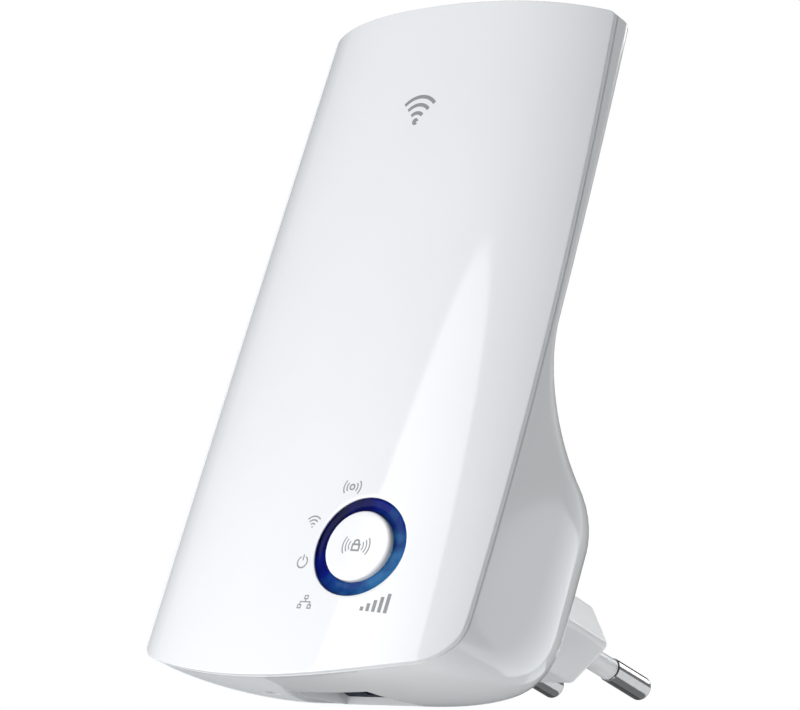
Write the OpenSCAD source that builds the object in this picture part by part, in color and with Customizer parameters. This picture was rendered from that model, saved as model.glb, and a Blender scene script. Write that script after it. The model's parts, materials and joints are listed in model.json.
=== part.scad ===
// Plug-in wifi range extender, modelled as an assembly of separate pieces.
// Millimetres. The origin is the middle of the plug's end face, between the two pins.
// +X is to the right seen from the front, +Y points into the wall socket, +Z is up.

/* [Housing outline] */
// Height of the housing
body_h = 112.5; // [112:0.1:112.8]
// Width of the housing at mid height
body_w = 65.8; // [65.4:0.1:66.4]
// Height of the plug's axis above the lowest point of the housing
plug_height = 27.5; // [27.4:0.1:27.6]
// How much each side curves in from mid height to either end
side_bow = 1.3; // [1.1:0.1:1.5]
// How much each side leans in from mid height to the top
side_taper = 1.5; // [1.3:0.1:1.6]
// Radius of the long curve of the bottom edge
base_bow_r = 90; // [88:1:94]
// Radius of the two bottom corners
base_corner_r = 8; // [7.8:0.1:8.2]
// Radius of the two top corners
top_corner_r = 0.8; // [0.8:0.1:1.2]
// Wall thickness of the rear housing
wall = 1.8; // [1.7:0.05:1.9]

/* [Front cover] */
// Distance of the seam from the plug's end face, at the ends of the housing
seam_depth = 48.48; // [48.4:0.02:48.6]
// How far the seam and the front curve in at mid height
seam_bow = 1; // [0.8:0.1:1.1]
// How far the seam leans forward from mid height to the top
seam_tilt = 0.7; // [0.5:0.1:0.8]
// Thickness of the cover, which is the height of its rim
rim_h = 0.75; // [0.75:0.05:0.9]
// Height of the round part of the crowned face
crown_round = 4.7; // [4.6:0.05:4.8]
// Height of the flatter, squarer part of the crowned face
crown_square = 3; // [2.9:0.05:3.1]
// Height of the part of the crown that drops close to the edges
crown_edge = 0.3; // [0.2:0.05:0.4]
// Width of the groove between the two shells
seam_gap = 0.1; // [0.08:0.01:0.15]

/* [Rear housing] */
// Distance of the thin part's rear edge from the plug's end face
thin_edge_depth = 46.9; // [46.8:0.05:47]
// Distance of the start of the bulge's rounding from the plug's end face
bulge_edge_depth = 35.5; // [35.4:0.1:35.6]
// Rounding of the thin part's rear edge
thin_edge_r = 1; // [0.8:0.1:1.1]
// Rounding between the bulge's sides and its back
bulge_edge_r = 19.5; // [19.4:0.1:19.6]
// How far the thin part's back is crowned
back_crown = 4.8; // [4.7:0.1:4.9]
// Height above the plug's axis at which the shoulder starts to flare
shoulder_top = 34.3; // [34:0.1:34.6]
// Radius of the shoulder's hollow flare
shoulder_r = 25.1; // [25:0.1:25.4]
// Radius of the shoulder's rounded nose
shoulder_nose_r = 8.6; // [8.4:0.1:8.8]
// Height over which the underside curves up into the back
base_rise = 19.2; // [19:0.1:19.4]
// Depth that the underside's curve adds in front of the bulge's rounding
base_reach = 24.2; // [24:0.1:24.4]
// Slenderness of the underside's curve
base_power = 1.7; // [1.65:0.05:1.75]

/* [Button and light ring] */
// Place of the button's axis to the right of the middle
ring_x = 14.1; // [14:0.05:14.2]
// Height of the button's axis above the plug's axis
ring_z = -6.45; // [-6.6:0.05:-6.3]
// Outer radius of the light ring
ring_outer_r = 7.9; // [7.85:0.01:7.95]
// Inner radius of the light ring
ring_inner_r = 5.72; // [5.7:0.01:5.75]
// Depth of the light ring below the crowned face
ring_recess = 0.7; // [0.6:0.05:0.8]
// How far the button stands proud of the crowned face
button_proud = 0.45; // [0.4:0.05:0.5]
// Travel of the button
button_travel = 0.5; // [0.3:0.05:0.5]

/* [Plug] */
// Width of the plug block across its two side corners
plug_w = 35.3; // [35:0.1:35.4]
// Height of the plug block
plug_h = 13.7; // [13.4:0.1:13.8]
// Width of the plug block's flat top
plug_flat_w = 24.2; // [23.8:0.1:24.4]
// How much each face of the plug block draws in towards its end
plug_draft = 0.35; // [0.3:0.05:0.4]
// Radius of the metal pins
pin_r = 2; // [1.98:0.01:2]
// Distance between the two pins' axes
pin_spacing = 18.6; // [18.4:0.1:19]
// Length of the pins beyond the plug's end face
pin_length = 19; // [19:0.1:19.2]
// Length of the insulating sleeve beyond the plug's end face
sleeve_length = 10; // [9.8:0.1:10]

/* [Network port] */
// Place of the port's middle to the right of the middle
port_x = 4.6; // [4.5:0.05:4.7]
// Width of the opening in the housing
port_w = 16.4; // [16.3:0.1:16.6]
// Place of the reset hole, left of the middle
reset_x = -9; // [-9.2:0.1:-8.8]
// Radius of the reset hole
reset_r = 1.2; // [1.1:0.05:1.3]

/* [Hidden] */

$fn = 64;
z_base = -plug_height;
z_top = z_base + body_h;
// The long curves of the sides and of the front are centred a little above mid height
half_h = 55;
z_mid = z_top - half_h;

// ---- Outline of the housing seen from the front -------------------------------------------

// Height as a share, from about -1 near the base to 1 at the top
function level(z) = (z - z_mid) / half_h;
// Half width of the long sides
function side_w(z) = body_w / 2 - side_bow * level(z) ^ 2 - side_taper * level(z);

bow_z = z_base + base_bow_r;
corner_x = side_w(z_base + 10) - base_corner_r;
bow_angle = asin(corner_x / (base_bow_r - base_corner_r));
corner_z = bow_z - (base_bow_r - base_corner_r) * cos(bow_angle);
top_corner_z = z_top - top_corner_r;
top_corner_x = side_w(top_corner_z) - top_corner_r;

// Half width of the outline drawn in by an inset
function half_w(z, inset) =
    z <= bow_z - (base_bow_r - inset) * cos(bow_angle)
        ? sqrt(max(0, (base_bow_r - inset) ^ 2 - (bow_z - z) ^ 2))
    : z <= corner_z ? corner_x + sqrt(max(0, (base_corner_r - inset) ^ 2 - (corner_z - z) ^ 2))
    : z <= top_corner_z ? side_w(z) - inset
    : top_corner_x + sqrt(max(0, (top_corner_r - inset) ^ 2 - (z - top_corner_z) ^ 2));

// Heights of the rows that carry the shells' surfaces, closer together where they curve
function shell_rows(inset) = concat(
    [for (k = [0:4]) bow_z - (base_bow_r - inset) * cos(bow_angle * (k + 0.1) / 5)],
    [for (k = [0:4]) corner_z - (base_corner_r - inset) * cos(bow_angle + (90 - bow_angle) * k / 5)],
    [for (k = [0:4]) corner_z + (1 - corner_z) * k / 5],
    [for (z = [3:2:shoulder_top]) z],
    [for (k = [0:7]) shoulder_top + 2 + (top_corner_z - shoulder_top - 2) * k / 7],
    [for (k = [1:3]) top_corner_z + (top_corner_r - inset) * sin(30 * k)]
);
// Places of the columns across the width, from -1 to 1, closer together at the edges
columns = [for (k = [0:18]) sin(-90 + 10 * k)];

// ---- Surfaces, each giving y at a place (x, z) --------------------------------------------

// Seam along the two long sides
function side_seam_y(z) = seam_bow * (1 - level(z) ^ 2) - seam_depth - seam_tilt * level(z);
function crown(s) =
    crown_round * (1 - s ^ 2) + crown_square * (1 - s ^ 4) + crown_edge * (1 - s ^ 10);
// The seam follows the crowned face at the thickness of the cover
function seam_y(x, z) = side_seam_y(z) - crown(min(1, abs(x) / side_w(z)));
function front_y(x, z) = seam_y(x, z) - rim_h;

// Depth of the shoulder: a hollow arc that runs tangent into a rounded nose
edge_depth = 15.16;
nose_z = shoulder_top
    - sqrt((shoulder_r + shoulder_nose_r) ^ 2 - (shoulder_r - edge_depth + shoulder_nose_r) ^ 2);
nose_end_z = nose_z + shoulder_nose_r * (shoulder_top - nose_z) / (shoulder_r + shoulder_nose_r);
function shoulder_depth(z) =
    z >= shoulder_top ? 0
    : z > nose_end_z ? shoulder_r - sqrt(shoulder_r ^ 2 - (shoulder_top - z) ^ 2)
    : z > nose_z ? edge_depth - shoulder_nose_r + sqrt(shoulder_nose_r ^ 2 - (z - nose_z) ^ 2)
    : edge_depth;
// Share of the bulge at a height, from 0 in the thin part to 1 in the bulge
function bulge(z) = shoulder_depth(z) / edge_depth;
function blend(a, b, t) = a + (b - a) * t;
// Least depth of the rear housing behind the seam
rear_rim = 0.5;
// Quarter-round rise from 0 at an edge to 1 at a distance r from it
function rounding(distance, r) = sqrt(max(0, 1 - (1 - min(1, max(0, distance) / r)) ^ 2));

function back_y(x, z) =
    let (
        share = bulge(z),
        base = share * (1 - rounding(z - z_base, base_rise) ^ base_power),
        r = blend(thin_edge_r, bulge_edge_r, share),
        w = half_w(min(z_top, max(z_base + 0.01, z)), 0),
        side = rounding(w - min(w, abs(x)), r) * (1 - base),
        top = thin_edge_r * (1 - rounding(z_top - z, thin_edge_r)),
        swell = back_crown * (1 - share) * (1 - min(1, abs(x) / w) ^ 4),
        edge = blend(thin_edge_depth, bulge_edge_depth, share) + base_reach * base
    )
    max((r + base_reach * base) * side + swell - top - edge, seam_y(x, z) + seam_gap + rear_rim);

// The same surface drawn inwards by the wall
function inner_back_y(x, z) =
    let (x_out = x * half_w(z, 0) / max(1, half_w(z, wall)))
    min(back_y(x_out, z + wall), back_y(x_out, z), back_y(x_out, z - wall)) - 0.7 * wall;

// ---- Solids -------------------------------------------------------------------------------

// Closed solid between two surfaces: rows are heights, place_x gives x for a row and a column
module between(rows, cols, place_x, front, back) {
    n = len(cols);
    m = len(rows);
    half = n * m;
    points = concat(
        [for (z = rows) for (s = cols) let (x = place_x(s, z)) [x, front(x, z), z]],
        [for (z = rows) for (s = cols) let (x = place_x(s, z)) [x, back(x, z), z]]
    );
    quads = concat(
        [for (r = [0:m - 2]) for (c = [0:n - 2]) let (i = r * n + c) [i, i + n, i + n + 1, i + 1]],
        [for (r = [0:m - 2]) for (c = [0:n - 2]) let (i = half + r * n + c)
            [i, i + 1, i + n + 1, i + n]],
        [for (r = [0:m - 2]) let (i = r * n) [half + i, half + i + n, i + n, i]],
        [for (r = [0:m - 2]) let (i = r * n + n - 1) [i, i + n, half + i + n, half + i]],
        [for (c = [0:n - 2]) [c, c + 1, half + c + 1, half + c]],
        [for (c = [0:n - 2]) let (i = (m - 1) * n + c) [i + 1, i, half + i, half + i + 1]]
    );
    polyhedron(points, [for (q = quads) each [[q[0], q[1], q[2]], [q[0], q[2], q[3]]]]);
}

// Solid over the whole outline, drawn in by an inset
module shell_solid(inset, front, back) {
    between(shell_rows(inset), columns, function (s, z) s * half_w(z, inset), front, back);
}

// Solid over a square around the button, from a level below the crowned face back to y_end
module crown_patch(sunk, y_end) {
    reach = 10;
    steps = [for (k = [-4:4]) k / 4];
    between(
        [for (s = steps) ring_z + reach * s], steps,
        function (s, z) ring_x + reach * s,
        function (x, z) front_y(x, z) + sunk,
        function (x, z) y_end
    );
}

// Cylinder along +Y
module y_cylinder(x, z, y_from, y_to, r) {
    translate([x, y_from, z]) rotate([-90, 0, 0]) cylinder(h = y_to - y_from, r = r);
}

// Tube along +Y
module y_tube(x, z, y_from, y_to, r_out, r_in) {
    difference() {
        y_cylinder(x, z, y_from, y_to, r_out);
        y_cylinder(x, z, y_from - 1, y_to + 1, r_in);
    }
}

// Box between two corners
module box(low, high) {
    translate(low) cube(high - low);
}

// ---- Fitting heights, all along Y ---------------------------------------------------------

// How far the rear housing's hollow runs past the seam
overcut = 3;

board_front = -46.2;
board_back = -45;
power_front = -24.8;
power_back = -23.2;
pin_x = pin_spacing / 2;

collar_end = -51.2;
collar_r = 9.4;
ring_step_y = -52.2;
ring_seat_r = 6.9;
ring_back = -50.4;
button_r = 5.62;
button_flange_r = 6.7;
button_flange_y = -52.1;
button_flange_end = -51.1;
switch_face = -49.6;
plunger_tip = -50.5;
plunger_end = switch_face + 1.5;

screw_x = 22;
screw_z = 14;
screw_hole_r = 1.4;
screw_r = 1.15;
screw_end = -36.5;

flange_front = -21;
flange_back = -19.5;

jack_low = [port_x - 7.9, board_back, -21.3];
jack_high = [port_x + 7.9, -31.6, -0.3];
port_y = [-44, -31.4];
reset_axis_y = -41.8;
reset_face = -21.3;

// ---- Casing -------------------------------------------------------------------------------

module front_cover() {
    color("white") {
        difference() {
            shell_solid(0, function (x, z) front_y(x, z), function (x, z) seam_y(x, z));
            y_cylinder(ring_x, ring_z, -60, -40, ring_outer_r + 0.05);
        }
        // Collar that holds the light ring
        intersection() {
            crown_patch(rim_h / 2, collar_end);
            y_tube(ring_x, ring_z, -58, collar_end, collar_r, ring_outer_r + 0.05);
        }
    }
}

// Outline of the plug block seen from behind, grown by a margin
function plug_outline(grow) = [
    [plug_w / 2 + grow, 0], [plug_flat_w / 2 + grow / 2, plug_h / 2 + grow],
    [-plug_flat_w / 2 - grow / 2, plug_h / 2 + grow], [-plug_w / 2 - grow, 0],
    [-plug_flat_w / 2 - grow / 2, -plug_h / 2 - grow],
    [plug_flat_w / 2 + grow / 2, -plug_h / 2 - grow]
];

// Straight prism of the plug's outline along +Y
module plug_prism(grow, y_from, y_to) {
    translate([0, y_to, 0]) rotate([90, 0, 0])
        linear_extrude(y_to - y_from) polygon(plug_outline(grow));
}

module rear_housing() {
    boss_r = 2.7;
    boss_end = -30.2;
    color("whitesmoke") {
        difference() {
            shell_solid(0, function (x, z) seam_y(x, z) + seam_gap,
                        function (x, z) back_y(x, z));
            shell_solid(wall, function (x, z) seam_y(x, z) - overcut,
                        function (x, z) inner_back_y(x, z));
            plug_prism(0.1, -30, 0);
            box([port_x - port_w / 2, port_y[0], -30], [port_x + port_w / 2, port_y[1], -19]);
            translate([reset_x, reset_axis_y, -30]) cylinder(h = 10, r = reset_r);
        }
        // Bosses that the board is screwed to
        for (side = [-1, 1])
            y_tube(side * screw_x, screw_z, board_back, boss_end, boss_r, screw_r + 0.05);
    }
}

// ---- Plug ---------------------------------------------------------------------------------

shank_r = 1.5;
sleeve_start = -4;
sleeve_r = pin_r - 0.2;

module plug_block() {
    outer = plug_outline(0);
    tip = plug_outline(-plug_draft);
    color("white") difference() {
        union() {
            // The block narrows a little from the housing to its end face
            polyhedron(
                concat([for (p = outer) [p[0], flange_back, p[1]]], [for (p = tip) [p[0], 0, p[1]]]),
                concat(
                    [[5, 4, 3, 2, 1, 0], [6, 7, 8, 9, 10, 11]],
                    [for (k = [0:5]) let (n = (k + 1) % 6) [k, n, n + 6, k + 6]]
                )
            );
            // Flange that holds the block behind the wall of the housing
            plug_prism(1, flange_front, flange_back);
        }
        for (side = [-1, 1]) {
            y_cylinder(side * pin_x, 0, flange_front - 1, 1, shank_r + 0.02);
            y_cylinder(side * pin_x, 0, sleeve_start, 1, sleeve_r + 0.02);
        }
    }
}

// Solid pin turned about its own axis: a thin shank, then the full-size contact with a round tip
module contact_pins() {
    tip_r = 0.8;
    color("silver") for (side = [-1, 1])
        translate([side * pin_x, 0, 0]) rotate([-90, 0, 0]) rotate_extrude()
            polygon(concat(
                [[0, power_back + 0.6], [shank_r, power_back + 0.6], [shank_r, sleeve_length],
                 [pin_r, sleeve_length]],
                [for (a = [0:15:90]) [pin_r - tip_r + tip_r * cos(a),
                                      pin_length - tip_r + tip_r * sin(a)]],
                [[0, pin_length]]
            ));
}

module pin_sleeves() {
    color("white") for (side = [-1, 1])
        y_tube(side * pin_x, 0, sleeve_start, sleeve_length - 0.02, sleeve_r, shank_r + 0.02);
}

// Springs on the power board that press on the pins' inner ends
module pin_springs() {
    color("goldenrod") for (side = [-1, 1]) {
        box([side * pin_x - 2, power_back, -2], [side * pin_x + 2, power_back + 0.3, 2]);
        box([side * pin_x - 2, power_back + 0.3, 1.7], [side * pin_x + 2, power_back + 1.6, 2]);
        box([side * pin_x - 2, power_back + 0.3, -2], [side * pin_x + 2, power_back + 1.6, -1.7]);
    }
}

// ---- Button, light ring and switches ------------------------------------------------------

module light_ring() {
    color("navy") {
        intersection() {
            crown_patch(ring_recess, ring_step_y);
            y_tube(ring_x, ring_z, -58, ring_step_y, ring_outer_r, ring_inner_r);
        }
        y_tube(ring_x, ring_z, ring_step_y, collar_end, ring_outer_r, ring_seat_r);
        y_tube(ring_x, ring_z, collar_end, ring_back, collar_r, ring_seat_r);
    }
}

// Clear tube that carries the light of the LEDs to the ring
module light_guide() {
    color("lightcyan") y_tube(ring_x, ring_z, ring_back, board_front - 1, 9, 7);
}

module range_button() {
    color("white") {
        intersection() {
            crown_patch(-button_proud, button_flange_y);
            y_cylinder(ring_x, ring_z, -58, button_flange_y, button_r);
        }
        y_cylinder(ring_x, ring_z, button_flange_y, button_flange_end, button_flange_r);
        y_cylinder(ring_x, ring_z, button_flange_end, plunger_tip - 0.05, 1.6);
    }
}

module range_switch() {
    half = 3;
    color("dimgray") difference() {
        box([ring_x - half, switch_face, ring_z - half], [ring_x + half, board_front, ring_z + half]);
        y_cylinder(ring_x, ring_z, switch_face - 1, plunger_end + button_travel + 0.2, 1.85);
    }
}

module range_switch_plunger() {
    color("saddlebrown") y_cylinder(ring_x, ring_z, plunger_tip, plunger_end, 1.75);
}

module reset_switch() {
    color("dimgray") difference() {
        box([reset_x - 3, board_back, reset_face], [reset_x + 3, -37.6, -17.6]);
        translate([reset_x, reset_axis_y, reset_face - 1]) cylinder(h = 3.2, r = 1);
    }
}

module reset_plunger() {
    color("black") translate([reset_x, reset_axis_y, -22.4]) cylinder(h = 2.8, r = 0.92);
}

// ---- Main board ---------------------------------------------------------------------------

module main_board() {
    half = 24;
    color("seagreen") difference() {
        box([-half, board_front, -18], [half, board_back, 76]);
        for (side = [-1, 1])
            y_cylinder(side * screw_x, screw_z, -50, -40, screw_hole_r);
    }
}

module board_screws() {
    head_r = 1.9;
    head_h = 1.4;
    color("silver") for (side = [-1, 1]) difference() {
        union() {
            y_cylinder(side * screw_x, screw_z, board_front - head_h, board_front, head_r);
            y_cylinder(side * screw_x, screw_z, board_front, screw_end, screw_r);
        }
        // Cross recess
        for (arm = [[0.25, 0.9], [0.9, 0.25]])
            box([side * screw_x - arm[0], board_front - 2, screw_z - arm[1]],
                [side * screw_x + arm[0], board_front - 0.6, screw_z + arm[1]]);
    }
}

// Tin can with an open back over the radio chips
module rf_shield() {
    color("lightgray") difference() {
        box([-13, board_front - 2.4, 20], [13, board_front, 44]);
        box([-12.7, board_front - 2.1, 20.3], [12.7, board_front + 1, 43.7]);
    }
}

module wifi_processor() {
    color([0.12, 0.12, 0.13]) box([-6, board_front - 1, 26], [6, board_front, 38]);
}

module heat_pad() {
    color("lightskyblue") box([-5, board_front - 2.1, 27], [5, board_front - 1, 37]);
}

module memory_chips() {
    color([0.12, 0.12, 0.13]) {
        box([-16, board_front - 1.1, 6], [-4, board_front, 14]);
        box([-20, board_front - 1.5, 22], [-15.5, board_front, 27.5]);
    }
}

module clock_crystal() {
    color("silver") box([8, board_front - 0.9, 12], [11.2, board_front, 14.5]);
}

module line_transformer() {
    color([0.12, 0.12, 0.13]) box([-15, board_front - 4, -8], [-4, board_front, 1]);
}

// Five small LEDs under the light guide
module ring_leds() {
    place_r = 8;
    half = 0.6;
    color("aliceblue") for (angle = [90:72:378])
        translate([ring_x + place_r * cos(angle), 0, ring_z + place_r * sin(angle)])
            box([-half, board_front - 0.8, -half], [half, board_front, half]);
}

// Stamped strip antenna: two feet, a raised strip and a folded lip
module antenna(side) {
    color("gainsboro") translate([side * 16, 0, 0]) {
        box([-6, board_front - 4.6, 66], [6, board_front - 4.2, 74]);
        box([-6, board_front - 4.2, 66], [-5.6, board_front, 68]);
        box([-3.4, board_front - 4.2, 66], [-3, board_front, 67.5]);
        box([5.6, board_front - 4.2, 66], [6, board_front - 2.4, 74]);
    }
}

module antenna_left() {
    antenna(-1);
}

module antenna_right() {
    antenna(1);
}

// ---- Network jack -------------------------------------------------------------------------

jack_mouth_w = 11.7;
jack_mouth_y = [-42.2, -34];
jack_slot_w = 6;
jack_back_z = -8;
module jack_body() {
    color([0.08, 0.12, 0.25]) difference() {
        box(jack_low, jack_high);
        box([port_x - jack_mouth_w / 2, jack_mouth_y[0], jack_low[2] - 1],
            [port_x + jack_mouth_w / 2, jack_mouth_y[1], jack_back_z]);
        // Slot for the latch of the cable's plug
        box([port_x - jack_slot_w / 2, jack_mouth_y[1] - 1, jack_low[2] - 1],
            [port_x + jack_slot_w / 2, jack_mouth_y[1] + 1.4, jack_back_z]);
        // Comb that the contacts lie in
        for (k = [0:7])
            box([port_x + 1.02 * (k - 3.5) - 0.3, board_back - 1, -14],
                [port_x + 1.02 * (k - 3.5) + 0.3, jack_mouth_y[0] + 1, -10]);
    }
}

// Eight spring wires that slant into the mouth
module jack_contacts() {
    wire = 0.4;
    color("gold") for (k = [0:7])
        translate([port_x + 1.02 * (k - 3.5) - wire / 2, jack_mouth_y[0] - 1.6, -11])
            rotate([30, 0, 0]) box([0, 0, -5.5], [wire, 0.4, 0]);
}

// ---- Power supply -------------------------------------------------------------------------

module power_board() {
    color("darkgoldenrod") box([-21.5, power_front, -14], [21.5, power_back, 7]);
}

// Four pins and their spacer between the two boards
module board_link() {
    color("gold") for (k = [0:3])
        box([15 + 2 * k - 0.3, board_back, 4.7], [15 + 2 * k + 0.3, power_front, 5.3]);
    color([0.12, 0.12, 0.13]) difference() {
        box([14, power_front - 2.5, 4], [22, power_front, 6]);
        for (k = [0:3])
            box([15 + 2 * k - 0.3, -30, 4.7], [15 + 2 * k + 0.3, -20, 5.3]);
    }
}

transformer_x = -13.5;
transformer_z = -3.5;
core_half_x = 7;
core_low_y = power_front - 12.6;
core_high_y = power_front - 1;
window_half_x = 4.6;
core_leg_x = 1.9;

// Ferrite frame with a middle leg
module transformer_core() {
    color([0.2, 0.2, 0.21]) translate([transformer_x, 0, transformer_z]) difference() {
        box([-core_half_x, core_low_y, -2.5], [core_half_x, core_high_y, 2.5]);
        for (side = [-1, 1])
            translate([side * (window_half_x + core_leg_x) / 2, 0, 0])
                box([(core_leg_x - window_half_x) / 2, core_low_y + 2.2, -5],
                    [(window_half_x - core_leg_x) / 2, core_high_y - 2.2, 5]);
    }
}

module transformer_bobbin() {
    color("ivory") translate([transformer_x, 0, transformer_z]) {
        for (y = [core_low_y + 2.3, core_high_y - 3])
            difference() {
                box([-4.4, y, -5.8], [4.4, y + 0.7, 5.8]);
                box([-2, y - 1, -2.6], [2, y + 2, 2.6]);
            }
    }
}

module transformer_winding() {
    color("gold") translate([transformer_x, 0, transformer_z]) difference() {
        box([-4.3, core_low_y + 3.05, -5.4], [4.3, core_high_y - 3.05, 5.4]);
        box([-2, core_low_y, -2.6], [2, core_high_y, 2.6]);
    }
}

// Sheet that keeps the mains side away from the main board
module insulation_sheet() {
    color("moccasin")
        box([transformer_x - 8, core_low_y - 0.4, -13], [transformer_x + 8, core_low_y, 6]);
}

// Can with a rounded edge, lying along Z
module lying_can(x, y, z, r, h) {
    edge = 0.5;
    translate([x, y, z]) rotate_extrude() polygon([
        [0, 0], [r - edge, 0], [r, edge], [r, h - edge], [r - edge, h], [0, h]
    ]);
}

module bulk_capacitors() {
    color([0.15, 0.18, 0.3]) {
        lying_can(18, power_front - 4.1, -13, 4, 13);
        lying_can(-2.6, power_front - 3.1, -13.5, 3, 11);
    }
}

module output_capacitor() {
    color("darkgreen") lying_can(8.5, power_front - 2.8, -13.5, 2.6, 10);
}

module bridge_rectifier() {
    color([0.12, 0.12, 0.13]) box([2, power_front - 2.4, 2], [6.7, power_front, 6]);
}

module switching_controller() {
    color([0.12, 0.12, 0.13]) box([2.6, power_front - 1.6, -2.2], [8.4, power_front, 1.4]);
}

module optocoupler() {
    color([0.15, 0.15, 0.15]) box([-3.4, power_front - 3.4, -1.9], [1.2, power_front, 1.2]);
}

module safety_capacitor() {
    color("royalblue") y_cylinder(-2.4, 4.3, power_front - 3.4, power_front, 2.2);
}

module input_choke() {
    color([0.25, 0.25, 0.25]) y_cylinder(10.6, 4.2, power_front - 6, power_front, 2.6);
}

module fuse_resistor() {
    color("tan") translate([11.8, power_front - 2, -2.9]) lying_can(0, 0, 0, 1.5, 4.4);
}

front_cover();
rear_housing();
plug_block();
contact_pins();
pin_sleeves();
light_ring();
light_guide();
range_button();
range_switch();
range_switch_plunger();
reset_switch();
reset_plunger();
main_board();
board_screws();
rf_shield();
wifi_processor();
heat_pad();
memory_chips();
clock_crystal();
line_transformer();
ring_leds();
antenna_left();
antenna_right();
jack_body();
jack_contacts();
power_board();
pin_springs();
board_link();
transformer_core();
transformer_bobbin();
transformer_winding();
insulation_sheet();
bulk_capacitors();
output_capacitor();
bridge_rectifier();
switching_controller();
optocoupler();
safety_capacitor();
input_choke();
fuse_resistor();
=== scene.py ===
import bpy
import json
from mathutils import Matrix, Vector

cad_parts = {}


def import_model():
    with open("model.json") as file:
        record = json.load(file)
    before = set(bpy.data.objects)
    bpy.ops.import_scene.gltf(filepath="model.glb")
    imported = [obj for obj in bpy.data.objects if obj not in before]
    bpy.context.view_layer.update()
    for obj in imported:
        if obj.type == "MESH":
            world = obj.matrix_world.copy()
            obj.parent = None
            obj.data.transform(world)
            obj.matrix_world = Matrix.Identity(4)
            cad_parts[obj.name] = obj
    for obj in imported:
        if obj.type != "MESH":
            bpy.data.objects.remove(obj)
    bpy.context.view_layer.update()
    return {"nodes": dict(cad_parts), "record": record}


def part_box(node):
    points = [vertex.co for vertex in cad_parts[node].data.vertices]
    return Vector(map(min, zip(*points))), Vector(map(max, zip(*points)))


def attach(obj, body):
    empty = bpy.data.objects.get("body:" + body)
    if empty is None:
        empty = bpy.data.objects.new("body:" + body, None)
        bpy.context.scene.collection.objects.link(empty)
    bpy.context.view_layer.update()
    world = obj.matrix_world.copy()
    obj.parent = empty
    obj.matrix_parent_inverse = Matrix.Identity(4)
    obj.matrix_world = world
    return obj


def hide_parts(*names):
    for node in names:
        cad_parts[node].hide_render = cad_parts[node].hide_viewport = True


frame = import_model()

import json
import math

import bmesh
import bpy
import numpy as np
from mathutils import Matrix, Vector
from mathutils.bvhtree import BVHTree

MM = 0.001

# ---- Sizes of the housing in millimetres, in the frame of the CAD model -------------------

COVER_LOW, COVER_HIGH = [np.array(c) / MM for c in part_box("front_cover")]
RING_LOW, RING_HIGH = [np.array(c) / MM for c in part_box("light_ring")]
BUTTON_HIGH = np.array(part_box("range_button")[1]) / MM
PIN_LOW, PIN_HIGH = [np.array(c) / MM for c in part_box("contact_pins")]
SLEEVE_LOW, SLEEVE_HIGH = [np.array(c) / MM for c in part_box("pin_sleeves")]
PLUG_LOW, PLUG_HIGH = [np.array(c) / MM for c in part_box("plug_block")]

# Outline: a bowed lower edge, two corners, sides that bow and lean in, a straight top
Z_BASE, Z_TOP = COVER_LOW[2], COVER_HIGH[2]
HALF_H = 55.0
Z_MID = Z_TOP - HALF_H
MID_HALF_W, SIDE_BOW, SIDE_TAPER = 32.9, 1.3, 1.5
BOW_R, CORNER_R, TOP_CORNER_R = 90.0, 8.0, 0.8
WALL = 1.8
# Seam between the shells, and the cover whose face is crowned above it
SEAM_DEPTH, SEAM_BOW, SEAM_TILT, SEAM_GAP = 48.48, 1.0, 0.7, 0.1
RIM_H, CROWN_ROUND, CROWN_SQUARE, CROWN_EDGE = 0.75, 4.7, 3.0, 0.3
# Rear shell: thin part, bulge, the curve underneath and the shoulder between them
THIN_EDGE, BULGE_EDGE, THIN_R, BULGE_R, BACK_CROWN = 46.9, 35.5, 1.0, 19.5, 4.8
BASE_RISE, BASE_REACH, BASE_POWER, REAR_RIM = 19.2, 24.2, 1.7, 0.5
SHOULDER_TOP, SHOULDER_R, NOSE_R, EDGE_DEPTH = 34.3, 25.1, 8.6, 15.16
# Light ring, the collar that holds it, and the button inside it
RING_X = (RING_LOW[0] + RING_HIGH[0]) / 2
RING_Z = (RING_LOW[2] + RING_HIGH[2]) / 2
RING_OUTER_R, RING_INNER_R = 7.9, 5.72
COLLAR_R, COLLAR_END = RING_HIGH[0] - RING_X, -51.2
BUTTON_PROUD, BUTTON_R = 0.45, 5.62
# Plug: the flange stands this far past the block's outline
FLANGE_W = 1


# ---- Outline of the housing ---------------------------------------------------------------

def level(z):
    """Height as a share, from about -1 near the base to 1 at the top."""
    return (z - Z_MID) / HALF_H


def side_w(z):
    """Half width of the long sides."""
    return MID_HALF_W - SIDE_BOW * level(z) ** 2 - SIDE_TAPER * level(z)


BOW_Z = Z_BASE + BOW_R
CORNER_X = side_w(Z_BASE + 10) - CORNER_R
BOW_ANGLE = math.asin(CORNER_X / (BOW_R - CORNER_R))
CORNER_Z = BOW_Z - (BOW_R - CORNER_R) * math.cos(BOW_ANGLE)
TOP_CORNER_Z = Z_TOP - TOP_CORNER_R
TOP_CORNER_X = side_w(TOP_CORNER_Z) - TOP_CORNER_R


def half_w(z, inset):
    """Half width of the outline drawn in by an inset, for an array of heights."""
    def arc(centre, r, distance):
        return centre + np.sqrt(np.maximum(0, r ** 2 - distance ** 2))
    bow_end = BOW_Z - (BOW_R - inset) * math.cos(BOW_ANGLE)
    return np.select(
        [z <= bow_end, z <= CORNER_Z, z <= TOP_CORNER_Z],
        [arc(0, BOW_R - inset, BOW_Z - z), arc(CORNER_X, CORNER_R - inset, CORNER_Z - z),
         side_w(z) - inset],
        arc(TOP_CORNER_X, TOP_CORNER_R - inset, z - TOP_CORNER_Z))


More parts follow.
